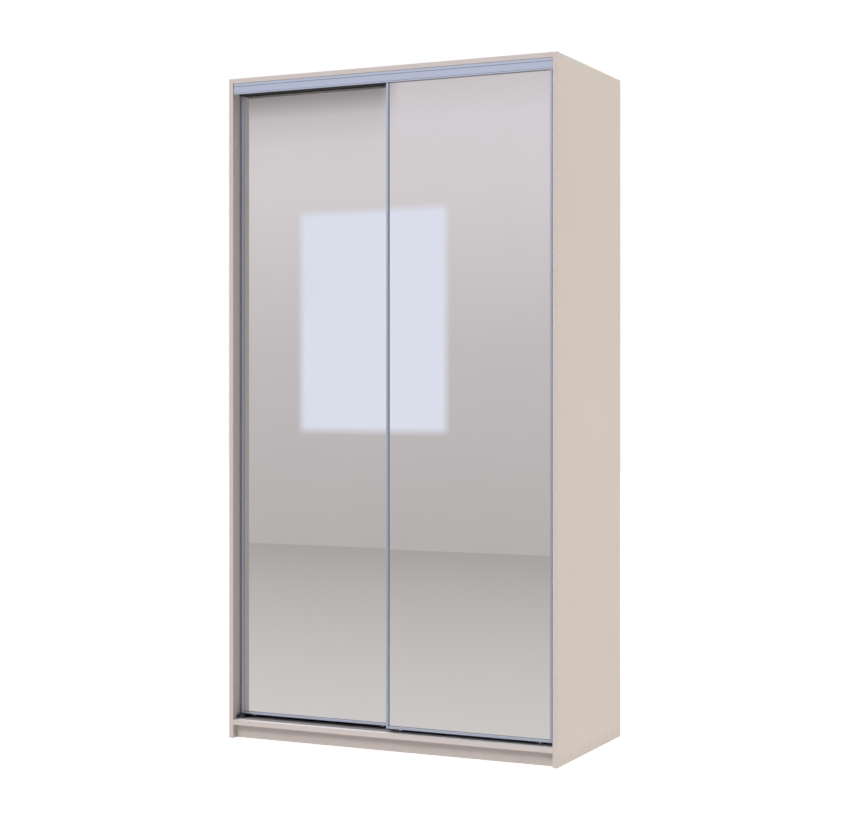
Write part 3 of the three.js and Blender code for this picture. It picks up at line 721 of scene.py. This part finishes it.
def make_caps():
    """Caps over the cam fittings: under the top and the fixed shelves, and on the partition."""
    shape = Shape()
    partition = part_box("centre_partition")

    def caps_under(board, y):
        low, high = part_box(board)
        for x in (low.x + CAP_END, high.x - CAP_END):
            shape.lathe(CAP, facing((x, y, low.z), DOWN), CAP_SEGMENTS)

    for y in (partition[0].y + CAP_FRONT_ROW, partition[1].y - CAP_REAR_ROW):
        caps_under("top_panel", y)
        for z in (partition[0].z + CAP_END, partition[1].z - CAP_END):
            shape.lathe(CAP, facing((partition[0].x, y, z), (-1, 0, 0)), CAP_SEGMENTS)
        caps_under("hat_shelf", y)
        caps_under("lower_shelf", y)
    piece("cam_caps", shape, "cap_plastic", "carcass")


NAIL = ((1.2, -0.2), (2.0, 0.0), (2.2, 0.15), (1.7, 0.4), (0.5, 0.5))
NAIL_SEGMENTS = 14
NAIL_PITCH = 0.12
NAIL_INSET = 8 * MM
NAIL_STRAY = 1.2 * MM
NAIL_TILT = 0.06
JOINT_GAP = 0.05


def make_back_nails():
    """Nails round both back sheets, a little unevenly spaced."""
    low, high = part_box("back_panel_left")[0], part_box("back_panel_right")[1]
    shape = Shape()

    def row(start, end):
        span = Vector(end) - Vector(start)
        count = round(span.length / NAIL_PITCH)
        for i in range(count + 1):
            place = Vector(start) + span * (i / count)
            place += Vector((dice.uniform(-1, 1), 0.0, dice.uniform(-1, 1))) * NAIL_STRAY
            tilt = (dice.uniform(-NAIL_TILT, NAIL_TILT), 1.0, dice.uniform(-NAIL_TILT, NAIL_TILT))
            shape.lathe(NAIL, facing(place, tilt), NAIL_SEGMENTS)

    ends = (low.z + NAIL_INSET, high.z - NAIL_INSET)
    sides = (low.x + NAIL_INSET, high.x - NAIL_INSET)
    for x in sides:
        row((x, high.y, ends[0]), (x, high.y, ends[1]))
    for z in ends:
        for x0, x1 in ((sides[0] + NAIL_PITCH, -JOINT_GAP), (JOINT_GAP, sides[1] - NAIL_PITCH)):
            row((x0, high.y, z), (x1, high.y, z))
    piece("back_nails", shape, "steel", "carcass")


# The random draws run in this order.
make_brush("left_door", "left_door_side_brush", math.pi)
make_brush("right_door", "right_door_side_brush", 0.0)
make_brush("right_door", "right_door_meeting_brush", math.pi / 2)
for make_part in (make_seal_lip, make_door_screws):
    for door_name in DOORS:
        make_part(door_name)
for number in range(1, 5):
    make_shelf_supports(f"shelf_{number}")
make_track_screws()
make_flange_screws()
make_caps()
make_back_nails()


# ---------------------------------------------------------------- stage and light
WALL_Y = -7.2
WALL_TOP = 3.75
WALL_HALF = 9.0
FLOOR_HALF = 20.0
FLOOR_GLOW = 0.78
FAR_FLOOR_LIFT = 1.0 * MM
FLAG_X = 5.0
FLAG_END = -1.0
FLAG_SHADE = 0.62
SHADED_FROM, SHADED_TO = 0.3, 3.2
STRIP_END, PLAIN_START = -3.55, -3.35
# The softbox is a bright patch painted on the self-lit wall and seen only in reflections: painted light,
# which lights nothing.
SOFTBOX_MIDDLE = (-3.6, 1.72)
SOFTBOX_HALF = (0.6, 0.8)
SOFTBOX_EDGE = 0.07
SOFTBOX_COLOR = (0.76, 0.78, 0.88)
# Tones up the wall. The darker top and the dark strip on the left are painted shade for the tops of the
# mirrors.
WALL_FOOT = ((0.0, (0.50, 0.465, 0.46)), (0.4, (0.57, 0.528, 0.535)), (0.73, (0.69, 0.645, 0.66)))
WALL_PLAIN = ((0.86, (0.70, 0.655, 0.675)), (0.94, (0.62, 0.575, 0.59)))
WALL_STRIP = ((0.82, (0.68, 0.635, 0.65)), (0.88, (0.58, 0.54, 0.555)),
              (0.92, (0.33, 0.30, 0.305)), (1.0, (0.10, 0.085, 0.085)))
FAR_FLOOR = ((0.0, (0.42, 0.39, 0.38)), (0.12, (0.44, 0.41, 0.395)),
             (0.6, (0.55, 0.52, 0.505)), (1.0, (0.66, 0.635, 0.62)))
FAR_FLOOR_SHADED = (0.38, 0.365, 0.36)


def plane(name, corners, material):
    mesh = bpy.data.meshes.new(name)
    mesh.from_pydata(corners, [], [(0, 1, 2, 3)])
    mesh.materials.append(material)
    obj = bpy.data.objects.new(name, mesh)
    bpy.context.scene.collection.objects.link(obj)
    return obj


class Glow(Look):
    """A self-lit material, whose colour comes from a ramp along one axis."""

    def __init__(self, name):
        super().__init__(name, (0.0, 0.0, 0.0), 1.0, Specular_IOR_Level=0.0)
        self.set("Emission Strength", 1.0)

    def ramp(self, value, stops):
        node = self.add("ShaderNodeValToRGB", Fac=value)
        elements = node.color_ramp.elements
        while len(elements) < len(stops):
            elements.new(0.5)
        for element, (position, color) in zip(elements, stops):
            element.position = position
            element.color = (*color, 1.0)
        return node.outputs["Color"]

    def height(self):
        """0 at the floor and 1 at the top of the wall."""
        return self.spread(self.axis("Z"), 0.0, 1.0, 0.0, WALL_TOP)


def wall_paint():
    """A self-lit pale wall that only reflections show, with a bright patch painted on it for a tall softbox.
    It is darker towards its foot, and darker at its top, painted shade for the tops of the mirrors; on the
    left a dark strip along its top is painted shade for the top of the left mirror.
    """
    look = Glow("studio_wall")
    height = look.height()
    plain = look.ramp(height, WALL_FOOT + WALL_PLAIN)
    # Painted shade: on the left the wall's top darkens into a dark strip.
    strip = look.ramp(height, WALL_FOOT + WALL_STRIP)
    wall = look.blend(look.spread(look.axis("X"), 0.0, 1.0, STRIP_END, PLAIN_START), strip, plain)
    shaded = look.spread(look.axis("X"), 0.0, 1.0, SHADED_FROM, SHADED_TO)
    wall = look.blend(shaded, wall, shade((1.0, 0.95, 0.93), FLAG_SHADE))
    across = look.near(look.axis("X"), SOFTBOX_MIDDLE[0], SOFTBOX_HALF[0], SOFTBOX_EDGE)
    upright = look.near(look.axis("Z"), SOFTBOX_MIDDLE[1], SOFTBOX_HALF[1], SOFTBOX_EDGE)
    look.to("Emission Color", look.blend(look.math("MULTIPLY", across, upright), wall, SOFTBOX_COLOR))
    return look.material


def flag_paint():
    """A grey side wall that is darker higher up."""
    look = Glow("studio_flag")
    stops = ((0.0, shade((1.0, 0.96, 0.94), FLAG_SHADE)), (1.0, shade((1.0, 0.97, 0.96), 0.2)))
    look.to("Emission Color", look.ramp(look.height(), stops))
    return look.material


def floor_paint():
    """A pale floor that glows, more strongly away from the cabinet: painted light, so that it runs into the
    white around it.
    """
    look = Look("studio_floor", (0.82, 0.815, 0.81), 0.6, Specular_IOR_Level=0.2)
    look.to("Roughness", look.spread(look.noise(30.0), 0.55, 0.65))
    away = look.add("ShaderNodeVectorMath", Vector=look.coords)
    away.operation = "LENGTH"
    look.set("Emission Color", (1.0, 1.0, 1.0, 1.0))
    # Painted light: the floor glows, more strongly further from the middle.
    look.to("Emission Strength", look.spread(away.outputs["Value"], FLOOR_GLOW, 1.05, 1.0, 6.0))
    return look.material


def reflected_floor_paint():
    """The floor as the mirrors show it: it gets less light further out."""
    look = Glow("studio_floor_far")
    out = look.spread(look.axis("Y"), 0.0, 1.0, WALL_Y, FRONT)
    shaded = look.spread(look.axis("X"), 0.0, 0.75, SHADED_FROM, SHADED_TO)
    look.to("Emission Color", look.blend(shaded, look.ramp(out, FAR_FLOOR), FAR_FLOOR_SHADED))
    return look.material


def level_corners(x, y0, y1, z):
    """The corners of a level rectangle from -x to x."""
    return [(-x, y0, z), (x, y0, z), (x, y1, z), (-x, y1, z)]


def upright_corners(x0, y0, x1, y1):
    """The corners of an upright rectangle as high as the wall, above a line on the floor."""
    return [(x0, y0, 0.0), (x1, y1, 0.0), (x1, y1, WALL_TOP), (x0, y0, WALL_TOP)]


def make_stage():
    """The floor, and the wall, floor and side wall that only the mirrors and the metal show."""
    plane("studio_floor", level_corners(FLOOR_HALF, -FLOOR_HALF, FLOOR_HALF, 0.0), floor_paint())
    far_floor = level_corners(WALL_HALF, WALL_Y, FRONT, FAR_FLOOR_LIFT)
    reflected = (
        plane("studio_wall", upright_corners(-WALL_HALF, WALL_Y, WALL_HALF, WALL_Y), wall_paint()),
        plane("studio_floor_far", far_floor, reflected_floor_paint()),
        plane("studio_flag", upright_corners(FLAG_X, WALL_Y, FLAG_X, FLAG_END), flag_paint()),
    )
    for obj in reflected:
        obj.visible_camera = False
        obj.visible_diffuse = False
        obj.visible_shadow = False


# name, direction it comes from, strength, colour, angle across in degrees
SKYLIGHTS = (
    ("key", (-0.33, -0.57, 0.75), 2.4, (1.0, 0.995, 0.99), 26),
    ("right", (0.82, 0.50, 0.26), 1.65, (1.0, 0.955, 0.82), 40),
    ("left_rear", (-0.60, 0.75, 0.26), 1.3, (1.0, 0.99, 0.98), 40),
)
SKYLIGHT_AWAY = 6
OVERHEAD_PLACE = (0.0, -0.3, 8.0)
OVERHEAD_WATTS = 260.0
OVERHEAD_SIDE = 9.0


def add_light(name, kind, place, target, power, color=(1.0, 1.0, 1.0)):
    data = bpy.data.lights.new(name, kind)
    data.energy = power
    data.color = color
    light = bpy.data.objects.new(name, data)
    light.location = place
    light.rotation_euler = (Vector(target) - Vector(place)).to_track_quat("-Z", "Y").to_euler()
    light.visible_glossy = False
    light.visible_camera = False
    bpy.context.scene.collection.objects.link(light)
    return light


def make_world():
    """White all round, which is seen but doesn't light the boards."""
    world = bpy.data.worlds.new("studio")
    world.use_nodes = True
    world.cycles_visibility.diffuse = False
    sky = world.node_tree.nodes["Background"]
    sky.inputs["Color"].default_value = (1.0, 1.0, 1.0, 1.0)
    sky.inputs["Strength"].default_value = 1.0
    bpy.context.scene.world = world


def make_light():
    """One large softbox overhead, and three broad even lights that leave the floor alone."""
    below = (*OVERHEAD_PLACE[:2], 0.0)
    overhead = add_light("overhead", "AREA", OVERHEAD_PLACE, below, OVERHEAD_WATTS)
    overhead.data.shape = "SQUARE"
    overhead.data.size = OVERHEAD_SIDE
    unlit = bpy.data.collections.new("floor_only")
    unlit.objects.link(bpy.data.objects["studio_floor"])
    unlit.collection_objects[0].light_linking.link_state = "EXCLUDE"
    for name, direction, power, color, width in SKYLIGHTS:
        light = add_light(name, "SUN", Vector(direction) * SKYLIGHT_AWAY, (0, 0, 0), power, color)
        light.data.angle = math.radians(width)
        light.light_linking.receiver_collection = unlit


make_camera()
make_stage()
make_world()
make_light()
scene = bpy.context.scene
scene.view_settings.view_transform = "Standard"
scene.view_settings.look = "None"
